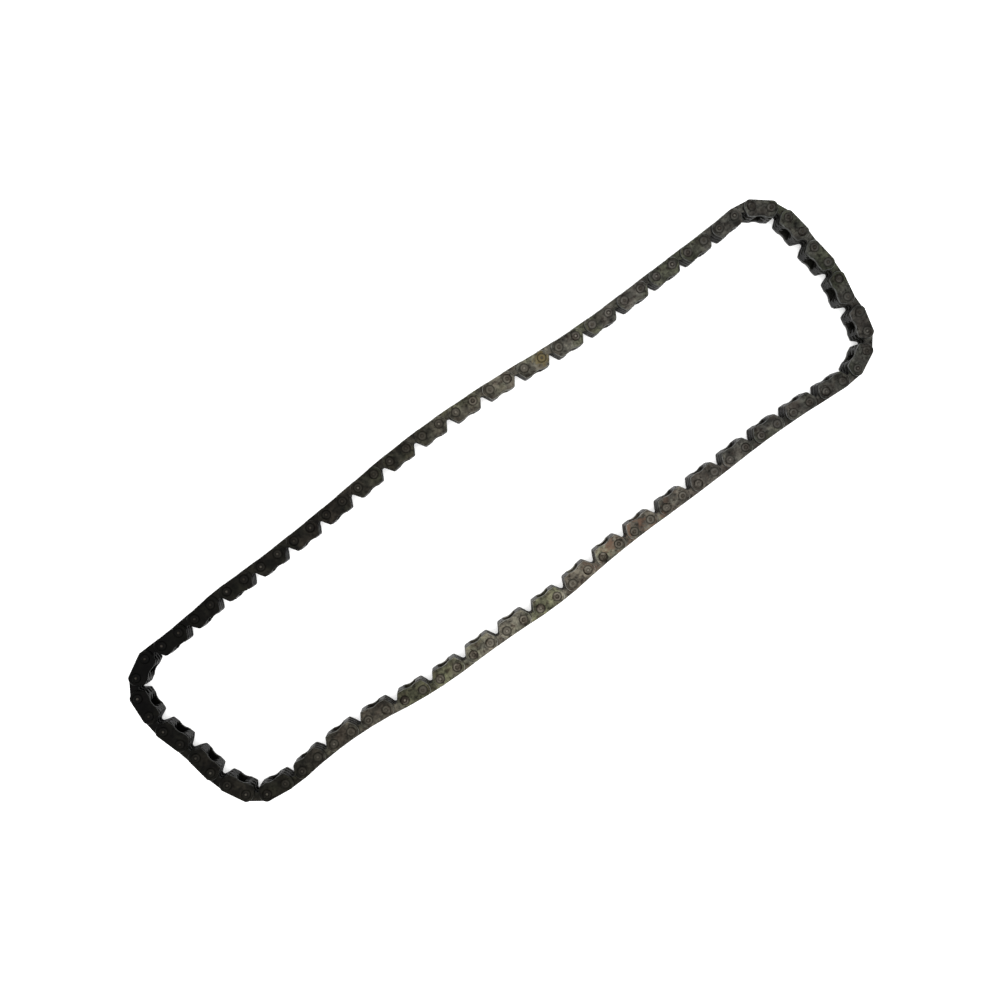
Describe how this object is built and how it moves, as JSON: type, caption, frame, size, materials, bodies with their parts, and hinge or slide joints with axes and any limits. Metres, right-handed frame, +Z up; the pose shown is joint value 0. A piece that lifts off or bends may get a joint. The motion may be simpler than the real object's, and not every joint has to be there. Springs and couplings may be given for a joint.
{
  "type": "timing chain",
  "caption": "Endless inverted-tooth timing chain of riveted steel plates, lying flat on its side in a slack four-cornered loop with the teeth inwards.",
  "frame": {"origin": "middle of the loop's bounding box, on the plane of the pin ends it rests on", "axes": "+X along the loop's two long runs, +Y across them, +Z up along the pins"},
  "size_m": [0.259, 0.07, 0.0069],
  "materials": {
    "guide_link_steel": "blackened steel with a brown-grey oil film",
    "inner_link_steel": "blackened steel, bright where the teeth run"
  },
  "bodies": {
    "lower_link_pair_01": {"lower_link_pair_01": "guide_link_steel"},
    "lower_link_pair_02": {"lower_link_pair_02": "guide_link_steel"},
    "lower_link_pair_03": {"lower_link_pair_03": "guide_link_steel"},
    "lower_link_pair_04": {"lower_link_pair_04": "guide_link_steel"},
    "lower_link_pair_05": {"lower_link_pair_05": "guide_link_steel"},
    "lower_link_pair_06": {"lower_link_pair_06": "guide_link_steel"},
    "lower_link_pair_07": {"lower_link_pair_07": "guide_link_steel"},
    "lower_link_pair_08": {"lower_link_pair_08": "guide_link_steel"},
    "lower_link_pair_09": {"lower_link_pair_09": "guide_link_steel"},
    "lower_link_pair_10": {"lower_link_pair_10": "guide_link_steel"},
    "lower_link_pair_11": {"lower_link_pair_11": "guide_link_steel"},
    "lower_link_pair_12": {"lower_link_pair_12": "guide_link_steel"},
    "lower_link_pair_13": {"lower_link_pair_13": "guide_link_steel"},
    "lower_link_pair_14": {"lower_link_pair_14": "guide_link_steel"},
    "lower_link_pair_15": {"lower_link_pair_15": "guide_link_steel"},
    "lower_link_pair_16": {"lower_link_pair_16": "guide_link_steel"},
    "lower_link_pair_17": {"lower_link_pair_17": "guide_link_steel"},
    "right_guide_link_1": {"right_guide_link_1": "guide_link_steel"},
    "right_inner_link_1": {"right_inner_link_1": "inner_link_steel"},
    "right_guide_link_2": {"right_guide_link_2": "guide_link_steel"},
    "right_inner_link_2": {"right_inner_link_2": "inner_link_steel"},
    "right_guide_link_3": {"right_guide_link_3": "guide_link_steel"},
    "right_inner_link_3": {"right_inner_link_3": "inner_link_steel"},
    "right_guide_link_4": {"right_guide_link_4": "guide_link_steel"},
    "right_inner_link_4": {"right_inner_link_4": "inner_link_steel"},
    "right_guide_link_5": {"right_guide_link_5": "guide_link_steel"},
    "right_inner_link_5": {"right_inner_link_5": "inner_link_steel"},
    "right_guide_link_6": {"right_guide_link_6": "guide_link_steel"},
    "right_inner_link_6": {"right_inner_link_6": "inner_link_steel"},
    "right_guide_link_7": {"right_guide_link_7": "guide_link_steel"},
    "upper_link_pair_01": {"upper_link_pair_01": "guide_link_steel"},
    "upper_link_pair_02": {"upper_link_pair_02": "guide_link_steel"},
    "upper_link_pair_03": {"upper_link_pair_03": "guide_link_steel"},
    "upper_link_pair_04": {"upper_link_pair_04": "guide_link_steel"},
    "upper_link_pair_05": {"upper_link_pair_05": "guide_link_steel"},
    "upper_link_pair_06": {"upper_link_pair_06": "guide_link_steel"},
    "upper_link_pair_07": {"upper_link_pair_07": "guide_link_steel"},
    "upper_link_pair_08": {"upper_link_pair_08": "guide_link_steel"},
    "upper_link_pair_09": {"upper_link_pair_09": "guide_link_steel"},
    "upper_link_pair_10": {"upper_link_pair_10": "guide_link_steel"},
    "upper_link_pair_11": {"upper_link_pair_11": "guide_link_steel"},
    "upper_link_pair_12": {"upper_link_pair_12": "guide_link_steel"},
    "upper_link_pair_13": {"upper_link_pair_13": "guide_link_steel"},
    "upper_link_pair_14": {"upper_link_pair_14": "guide_link_steel"},
    "upper_link_pair_15": {"upper_link_pair_15": "guide_link_steel"},
    "upper_link_pair_16": {"upper_link_pair_16": "guide_link_steel"},
    "upper_link_pair_17": {"upper_link_pair_17": "guide_link_steel"},
    "left_inner_link_1": {"left_inner_link_1": "inner_link_steel"},
    "left_guide_link_1": {"left_guide_link_1": "guide_link_steel"},
    "left_inner_link_2": {"left_inner_link_2": "inner_link_steel"},
    "left_guide_link_2": {"left_guide_link_2": "guide_link_steel"},
    "left_inner_link_3": {"left_inner_link_3": "inner_link_steel"},
    "left_guide_link_3": {"left_guide_link_3": "guide_link_steel"},
    "left_inner_link_4": {"left_inner_link_4": "inner_link_steel"},
    "left_guide_link_4": {"left_guide_link_4": "guide_link_steel"},
    "left_inner_link_5": {"left_inner_link_5": "inner_link_steel"},
    "left_guide_link_5": {"left_guide_link_5": "guide_link_steel"},
    "left_inner_link_6": {"left_inner_link_6": "inner_link_steel"},
    "left_guide_link_6": {"left_guide_link_6": "guide_link_steel"},
    "left_inner_link_7": {"left_inner_link_7": "inner_link_steel"}
  },
  "joints": [
    {"name": "hinge_pin_18", "type": "hinge", "parent": "lower_link_pair_09", "child": "lower_link_pair_10", "pos_m": [0.01401, -0.03098, 0.00345], "axis": [0, 0, 1], "range_deg": [-1.8, 8.98]},
    {"name": "hinge_pin_20", "type": "hinge", "parent": "lower_link_pair_10", "child": "lower_link_pair_11", "pos_m": [0.02669, -0.0303, 0.00345], "axis": [0, 0, 1], "range_deg": [-1.83, 9.15]},
    {"name": "hinge_pin_22", "type": "hinge", "parent": "lower_link_pair_11", "child": "lower_link_pair_12", "pos_m": [0.03939, -0.03018, 0.00345], "axis": [0, 0, 1], "range_deg": [-1.9, 9.5]},
    {"name": "hinge_pin_24", "type": "hinge", "parent": "lower_link_pair_12", "child": "lower_link_pair_13", "pos_m": [0.05209, -0.03003, 0.00345], "axis": [0, 0, 1], "range_deg": [-7, 7]},
    {"name": "hinge_pin_26", "type": "hinge", "parent": "lower_link_pair_13", "child": "lower_link_pair_14", "pos_m": [0.06479, -0.02966, 0.00345], "axis": [0, 0, 1], "range_deg": [-7.38, 7.38]},
    {"name": "hinge_pin_28", "type": "hinge", "parent": "lower_link_pair_14", "child": "lower_link_pair_15", "pos_m": [0.07748, -0.02926, 0.00345], "axis": [0, 0, 1], "range_deg": [-2.52, 12.59]},
    {"name": "hinge_pin_30", "type": "hinge", "parent": "lower_link_pair_15", "child": "lower_link_pair_16", "pos_m": [0.09018, -0.02942, 0.00345], "axis": [0, 0, 1], "range_deg": [-6.79, 6.79]},
    {"name": "hinge_pin_32", "type": "hinge", "parent": "lower_link_pair_16", "child": "lower_link_pair_17", "pos_m": [0.10286, -0.03013, 0.00345], "axis": [0, 0, 1], "range_deg": [-7, 7]},
    {"name": "hinge_pin_34", "type": "hinge", "parent": "lower_link_pair_17", "child": "right_guide_link_1", "pos_m": [0.11553, -0.02998, 0.00345], "axis": [0, 0, 1], "range_deg": [-7.5, 0]},
    {"name": "hinge_pin_35", "type": "hinge", "parent": "right_guide_link_1", "child": "right_inner_link_1", "pos_m": [0.12118, -0.02709, 0.00345], "axis": [0, 0, 1], "range_deg": [-19.08, 3.82]},
    {"name": "hinge_pin_36", "type": "hinge", "parent": "right_inner_link_1", "child": "right_guide_link_2", "pos_m": [0.125, -0.02201, 0.00345], "axis": [0, 0, 1], "range_deg": [-22.21, 4.45]},
    {"name": "hinge_pin_37", "type": "hinge", "parent": "right_guide_link_2", "child": "right_inner_link_2", "pos_m": [0.12631, -0.0158, 0.00345], "axis": [0, 0, 1], "range_deg": [-14, 5]},
    {"name": "hinge_pin_38", "type": "hinge", "parent": "right_inner_link_2", "child": "right_guide_link_3", "pos_m": [0.12609, -0.00946, 0.00345], "axis": [0, 0, 1], "range_deg": [0, 8.22]},
    {"name": "hinge_pin_39", "type": "hinge", "parent": "right_guide_link_3", "child": "right_inner_link_3", "pos_m": [0.12707, -0.00318, 0.00345], "axis": [0, 0, 1], "range_deg": [-16, 4]},
    {"name": "hinge_pin_40", "type": "hinge", "parent": "right_inner_link_3", "child": "right_guide_link_4", "pos_m": [0.12707, 0.00317, 0.00345], "axis": [0, 0, 1], "range_deg": [-5.05, 18.17]},
    {"name": "hinge_pin_41", "type": "hinge", "parent": "right_guide_link_4", "child": "right_inner_link_4", "pos_m": [0.12607, 0.00944, 0.00345], "axis": [0, 0, 1], "range_deg": [-3.96, 15.83]},
    {"name": "hinge_pin_42", "type": "hinge", "parent": "right_inner_link_4", "child": "right_guide_link_5", "pos_m": [0.12573, 0.01578, 0.00345], "axis": [0, 0, 1], "range_deg": [-13.83, 6.92]},
    {"name": "hinge_pin_43", "type": "hinge", "parent": "right_guide_link_5", "child": "right_inner_link_5", "pos_m": [0.12462, 0.02203, 0.00345], "axis": [0, 0, 1], "range_deg": [-4.86, 13.61]},
    {"name": "hinge_pin_44", "type": "hinge", "parent": "right_inner_link_5", "child": "right_guide_link_6", "pos_m": [0.12184, 0.02774, 0.00345], "axis": [0, 0, 1], "range_deg": [-18.93, 3.79]},
    {"name": "hinge_pin_45", "type": "hinge", "parent": "right_guide_link_6", "child": "right_inner_link_6", "pos_m": [0.11676, 0.03155, 0.00345], "axis": [0, 0, 1], "range_deg": [-18.28, 3.66]},
    {"name": "hinge_pin_46", "type": "hinge", "parent": "right_inner_link_6", "child": "right_guide_link_7", "pos_m": [0.11046, 0.03232, 0.00345], "axis": [0, 0, 1], "range_deg": [-18.37, 5.11]},
    {"name": "hinge_pin_47", "type": "hinge", "parent": "right_guide_link_7", "child": "upper_link_pair_01", "pos_m": [0.10413, 0.03176, 0.00345], "axis": [0, 0, 1], "range_deg": [-6.79, 13.57]},
    {"name": "hinge_pin_49", "type": "hinge", "parent": "upper_link_pair_01", "child": "upper_link_pair_02", "pos_m": [0.09144, 0.0313, 0.00345], "axis": [0, 0, 1], "range_deg": [-2.07, 10.34]},
    {"name": "hinge_pin_51", "type": "hinge", "parent": "upper_link_pair_02", "child": "upper_link_pair_03", "pos_m": [0.07875, 0.0309, 0.00345], "axis": [0, 0, 1], "range_deg": [-6.71, 6.71]},
    {"name": "hinge_pin_53", "type": "hinge", "parent": "upper_link_pair_03", "child": "upper_link_pair_04", "pos_m": [0.06605, 0.0305, 0.00345], "axis": [0, 0, 1], "range_deg": [-6.91, 6.91]},
    {"name": "hinge_pin_55", "type": "hinge", "parent": "upper_link_pair_04", "child": "upper_link_pair_05", "pos_m": [0.05336, 0.03024, 0.00345], "axis": [0, 0, 1], "range_deg": [-1.87, 9.35]},
    {"name": "hinge_pin_57", "type": "hinge", "parent": "upper_link_pair_05", "child": "upper_link_pair_06", "pos_m": [0.04066, 0.03053, 0.00345], "axis": [0, 0, 1], "range_deg": [-6.68, 6.68]},
    {"name": "hinge_pin_59", "type": "hinge", "parent": "upper_link_pair_06", "child": "upper_link_pair_07", "pos_m": [0.02799, 0.03137, 0.00345], "axis": [0, 0, 1], "range_deg": [-7.3, 7.3]},
    {"name": "hinge_pin_61", "type": "hinge", "parent": "upper_link_pair_07", "child": "upper_link_pair_08", "pos_m": [0.01531, 0.0321, 0.00345], "axis": [0, 0, 1], "range_deg": [-2.1, 10.46]},
    {"name": "hinge_pin_63", "type": "hinge", "parent": "upper_link_pair_08", "child": "upper_link_pair_09", "pos_m": [0.00262, 0.0325, 0.00345], "axis": [0, 0, 1], "range_deg": [-2.07, 10.34]},
    {"name": "hinge_pin_16", "type": "hinge", "parent": "lower_link_pair_09", "child": "lower_link_pair_08", "pos_m": [0.00137, -0.03221, 0.00345], "axis": [0, 0, -1], "range_deg": [-2, 10]},
    {"name": "hinge_pin_14", "type": "hinge", "parent": "lower_link_pair_08", "child": "lower_link_pair_07", "pos_m": [-0.01132, -0.03258, 0.00345], "axis": [0, 0, -1], "range_deg": [-1.64, 8.2]},
    {"name": "hinge_pin_12", "type": "hinge", "parent": "lower_link_pair_07", "child": "lower_link_pair_06", "pos_m": [-0.02401, -0.03207, 0.00345], "axis": [0, 0, -1], "range_deg": [-7, 7]},
    {"name": "hinge_pin_10", "type": "hinge", "parent": "lower_link_pair_06", "child": "lower_link_pair_05", "pos_m": [-0.03671, -0.03199, 0.00345], "axis": [0, 0, -1], "range_deg": [-6.84, 6.84]},
    {"name": "hinge_pin_08", "type": "hinge", "parent": "lower_link_pair_05", "child": "lower_link_pair_04", "pos_m": [-0.0494, -0.03198, 0.00345], "axis": [0, 0, -1], "range_deg": [-1.7, 8.49]},
    {"name": "hinge_pin_06", "type": "hinge", "parent": "lower_link_pair_04", "child": "lower_link_pair_03", "pos_m": [-0.06205, -0.03085, 0.00345], "axis": [0, 0, -1], "range_deg": [-6.82, 6.82]},
    {"name": "hinge_pin_04", "type": "hinge", "parent": "lower_link_pair_03", "child": "lower_link_pair_02", "pos_m": [-0.07464, -0.02924, 0.00345], "axis": [0, 0, -1], "range_deg": [-6.95, 6.95]},
    {"name": "hinge_pin_02", "type": "hinge", "parent": "lower_link_pair_02", "child": "lower_link_pair_01", "pos_m": [-0.08733, -0.02894, 0.00345], "axis": [0, 0, -1], "range_deg": [-2.44, 12.19]},
    {"name": "hinge_pin_00", "type": "hinge", "parent": "lower_link_pair_01", "child": "left_inner_link_7", "pos_m": [-0.09999, -0.02998, 0.00345], "axis": [0, 0, -1], "range_deg": [-7, 14]},
    {"name": "hinge_pin_93", "type": "hinge", "parent": "left_inner_link_7", "child": "left_guide_link_6", "pos_m": [-0.10634, -0.0301, 0.00345], "axis": [0, 0, -1], "range_deg": [-18, 5]},
    {"name": "hinge_pin_92", "type": "hinge", "parent": "left_guide_link_6", "child": "left_inner_link_6", "pos_m": [-0.11264, -0.02933, 0.00345], "axis": [0, 0, -1], "range_deg": [-19.67, 3.94]},
    {"name": "hinge_pin_91", "type": "hinge", "parent": "left_inner_link_6", "child": "left_guide_link_5", "pos_m": [-0.11778, -0.0256, 0.00345], "axis": [0, 0, -1], "range_deg": [-19.17, 3.84]},
    {"name": "hinge_pin_90", "type": "hinge", "parent": "left_guide_link_5", "child": "left_inner_link_5", "pos_m": [-0.12067, -0.01995, 0.00345], "axis": [0, 0, -1], "range_deg": [-5.05, 14.13]},
    {"name": "hinge_pin_89", "type": "hinge", "parent": "left_inner_link_5", "child": "left_guide_link_4", "pos_m": [-0.12243, -0.01384, 0.00345], "axis": [0, 0, -1], "range_deg": [-14.14, 7.07]},
    {"name": "hinge_pin_88", "type": "hinge", "parent": "left_guide_link_4", "child": "left_inner_link_4", "pos_m": [-0.12332, -0.00756, 0.00345], "axis": [0, 0, -1], "range_deg": [-4.07, 16.27]},
    {"name": "hinge_pin_87", "type": "hinge", "parent": "left_inner_link_4", "child": "left_guide_link_3", "pos_m": [-0.12465, -0.00135, 0.00345], "axis": [0, 0, -1], "range_deg": [-4.88, 17.57]},
    {"name": "hinge_pin_86", "type": "hinge", "parent": "left_guide_link_3", "child": "left_inner_link_3", "pos_m": [-0.1264, 0.00475, 0.00345], "axis": [0, 0, -1], "range_deg": [-16.19, 4.05]},
    {"name": "hinge_pin_85", "type": "hinge", "parent": "left_inner_link_3", "child": "left_guide_link_2", "pos_m": [-0.12707, 0.01107, 0.00345], "axis": [0, 0, -1], "range_deg": [0, 8.26]},
    {"name": "hinge_pin_84", "type": "hinge", "parent": "left_guide_link_2", "child": "left_inner_link_2", "pos_m": [-0.12664, 0.0174, 0.00345], "axis": [0, 0, -1], "range_deg": [-14.07, 5.03]},
    {"name": "hinge_pin_83", "type": "hinge", "parent": "left_inner_link_2", "child": "left_guide_link_1", "pos_m": [-0.12328, 0.02279, 0.00345], "axis": [0, 0, -1], "range_deg": [-18.06, 3.62]},
    {"name": "hinge_pin_82", "type": "hinge", "parent": "left_guide_link_1", "child": "left_inner_link_1", "pos_m": [-0.11778, 0.02597, 0.00345], "axis": [0, 0, -1], "range_deg": [-19.79, 3.96]},
    {"name": "hinge_pin_81", "type": "hinge", "parent": "left_inner_link_1", "child": "upper_link_pair_17", "pos_m": [-0.11144, 0.0262, 0.00345], "axis": [0, 0, -1], "range_deg": [-7.79, 0]},
    {"name": "hinge_pin_79", "type": "hinge", "parent": "upper_link_pair_17", "child": "upper_link_pair_16", "pos_m": [-0.09877, 0.0271, 0.00345], "axis": [0, 0, -1], "range_deg": [-6.61, 6.61]},
    {"name": "hinge_pin_77", "type": "hinge", "parent": "upper_link_pair_16", "child": "upper_link_pair_15", "pos_m": [-0.08613, 0.02828, 0.00345], "axis": [0, 0, -1], "range_deg": [-7.31, 7.31]},
    {"name": "hinge_pin_75", "type": "hinge", "parent": "upper_link_pair_15", "child": "upper_link_pair_14", "pos_m": [-0.07343, 0.0284, 0.00345], "axis": [0, 0, -1], "range_deg": [-1.69, 8.42]},
    {"name": "hinge_pin_73", "type": "hinge", "parent": "upper_link_pair_14", "child": "upper_link_pair_13", "pos_m": [-0.06075, 0.02897, 0.00345], "axis": [0, 0, -1], "range_deg": [-6.64, 6.64]},
    {"name": "hinge_pin_71", "type": "hinge", "parent": "upper_link_pair_13", "child": "upper_link_pair_12", "pos_m": [-0.04807, 0.02982, 0.00345], "axis": [0, 0, -1], "range_deg": [-7.87, 7.87]},
    {"name": "hinge_pin_69", "type": "hinge", "parent": "upper_link_pair_12", "child": "upper_link_pair_11", "pos_m": [-0.03542, 0.03088, 0.00345], "axis": [0, 0, -1], "range_deg": [-2.08, 10.37]},
    {"name": "hinge_pin_67", "type": "hinge", "parent": "upper_link_pair_11", "child": "upper_link_pair_10", "pos_m": [-0.02277, 0.03198, 0.00345], "axis": [0, 0, -1], "range_deg": [-2, 9.99]}
  ],
  "couplings": [
    {"joint": "hinge_pin_18", "follows": "hinge_pin_16", "ratio": 0.8972},
    {"joint": "hinge_pin_20", "follows": "hinge_pin_16", "ratio": 0.9147},
    {"joint": "hinge_pin_22", "follows": "hinge_pin_16", "ratio": 0.9492},
    {"joint": "hinge_pin_26", "follows": "hinge_pin_24", "ratio": -1.0531},
    {"joint": "hinge_pin_28", "follows": "hinge_pin_16", "ratio": 1.2585},
    {"joint": "hinge_pin_30", "follows": "hinge_pin_24", "ratio": -0.9699},
    {"joint": "hinge_pin_32", "follows": "hinge_pin_24", "ratio": 0.9996},
    {"joint": "hinge_pin_35", "follows": "hinge_pin_16", "ratio": -1.9075},
    {"joint": "hinge_pin_36", "follows": "hinge_pin_16", "ratio": -2.2209},
    {"joint": "hinge_pin_38", "follows": "hinge_pin_34", "ratio": -1.0947},
    {"joint": "hinge_pin_40", "follows": "hinge_pin_93", "ratio": -1.0091},
    {"joint": "hinge_pin_41", "follows": "hinge_pin_39", "ratio": -0.9888},
    {"joint": "hinge_pin_42", "follows": "hinge_pin_00", "ratio": -0.9877},
    {"joint": "hinge_pin_43", "follows": "hinge_pin_37", "ratio": -0.9719},
    {"joint": "hinge_pin_44", "follows": "hinge_pin_16", "ratio": -1.8929},
    {"joint": "hinge_pin_45", "follows": "hinge_pin_16", "ratio": -1.8276},
    {"joint": "hinge_pin_46", "follows": "hinge_pin_93", "ratio": 1.0201},
    {"joint": "hinge_pin_47", "follows": "hinge_pin_00", "ratio": 0.9689},
    {"joint": "hinge_pin_49", "follows": "hinge_pin_16", "ratio": 1.0331},
    {"joint": "hinge_pin_51", "follows": "hinge_pin_12", "ratio": 0.9579},
    {"joint": "hinge_pin_53", "follows": "hinge_pin_12", "ratio": -0.9859},
    {"joint": "hinge_pin_55", "follows": "hinge_pin_16", "ratio": 0.9341},
    {"joint": "hinge_pin_57", "follows": "hinge_pin_12", "ratio": -0.9532},
    {"joint": "hinge_pin_59", "follows": "hinge_pin_12", "ratio": 1.0421},
    {"joint": "hinge_pin_61", "follows": "hinge_pin_16", "ratio": 1.0457},
    {"joint": "hinge_pin_63", "follows": "hinge_pin_16", "ratio": 1.0333},
    {"joint": "hinge_pin_14", "follows": "hinge_pin_16", "ratio": 0.8192},
    {"joint": "hinge_pin_10", "follows": "hinge_pin_12", "ratio": -0.9766},
    {"joint": "hinge_pin_08", "follows": "hinge_pin_16", "ratio": 0.849},
    {"joint": "hinge_pin_06", "follows": "hinge_pin_12", "ratio": -0.9737},
    {"joint": "hinge_pin_04", "follows": "hinge_pin_12", "ratio": 0.9916},
    {"joint": "hinge_pin_02", "follows": "hinge_pin_16", "ratio": 1.2189},
    {"joint": "hinge_pin_92", "follows": "hinge_pin_16", "ratio": -1.9666},
    {"joint": "hinge_pin_91", "follows": "hinge_pin_16", "ratio": -1.9169},
    {"joint": "hinge_pin_90", "follows": "hinge_pin_37", "ratio": -1.009},
    {"joint": "hinge_pin_89", "follows": "hinge_pin_00", "ratio": -1.0097},
    {"joint": "hinge_pin_88", "follows": "hinge_pin_39", "ratio": -1.0166},
    {"joint": "hinge_pin_87", "follows": "hinge_pin_93", "ratio": -0.976},
    {"joint": "hinge_pin_86", "follows": "hinge_pin_39", "ratio": 1.0117},
    {"joint": "hinge_pin_85", "follows": "hinge_pin_34", "ratio": -1.101},
    {"joint": "hinge_pin_84", "follows": "hinge_pin_37", "ratio": 1.0049},
    {"joint": "hinge_pin_83", "follows": "hinge_pin_16", "ratio": -1.806},
    {"joint": "hinge_pin_82", "follows": "hinge_pin_16", "ratio": -1.9784},
    {"joint": "hinge_pin_81", "follows": "hinge_pin_34", "ratio": 1.0382},
    {"joint": "hinge_pin_79", "follows": "hinge_pin_24", "ratio": 0.9434},
    {"joint": "hinge_pin_77", "follows": "hinge_pin_24", "ratio": -1.0434},
    {"joint": "hinge_pin_75", "follows": "hinge_pin_16", "ratio": 0.8417},
    {"joint": "hinge_pin_73", "follows": "hinge_pin_24", "ratio": -0.9474},
    {"joint": "hinge_pin_71", "follows": "hinge_pin_24", "ratio": 1.123},
    {"joint": "hinge_pin_69", "follows": "hinge_pin_16", "ratio": 1.0362},
    {"joint": "hinge_pin_67", "follows": "hinge_pin_16", "ratio": 0.9983}
  ]
}
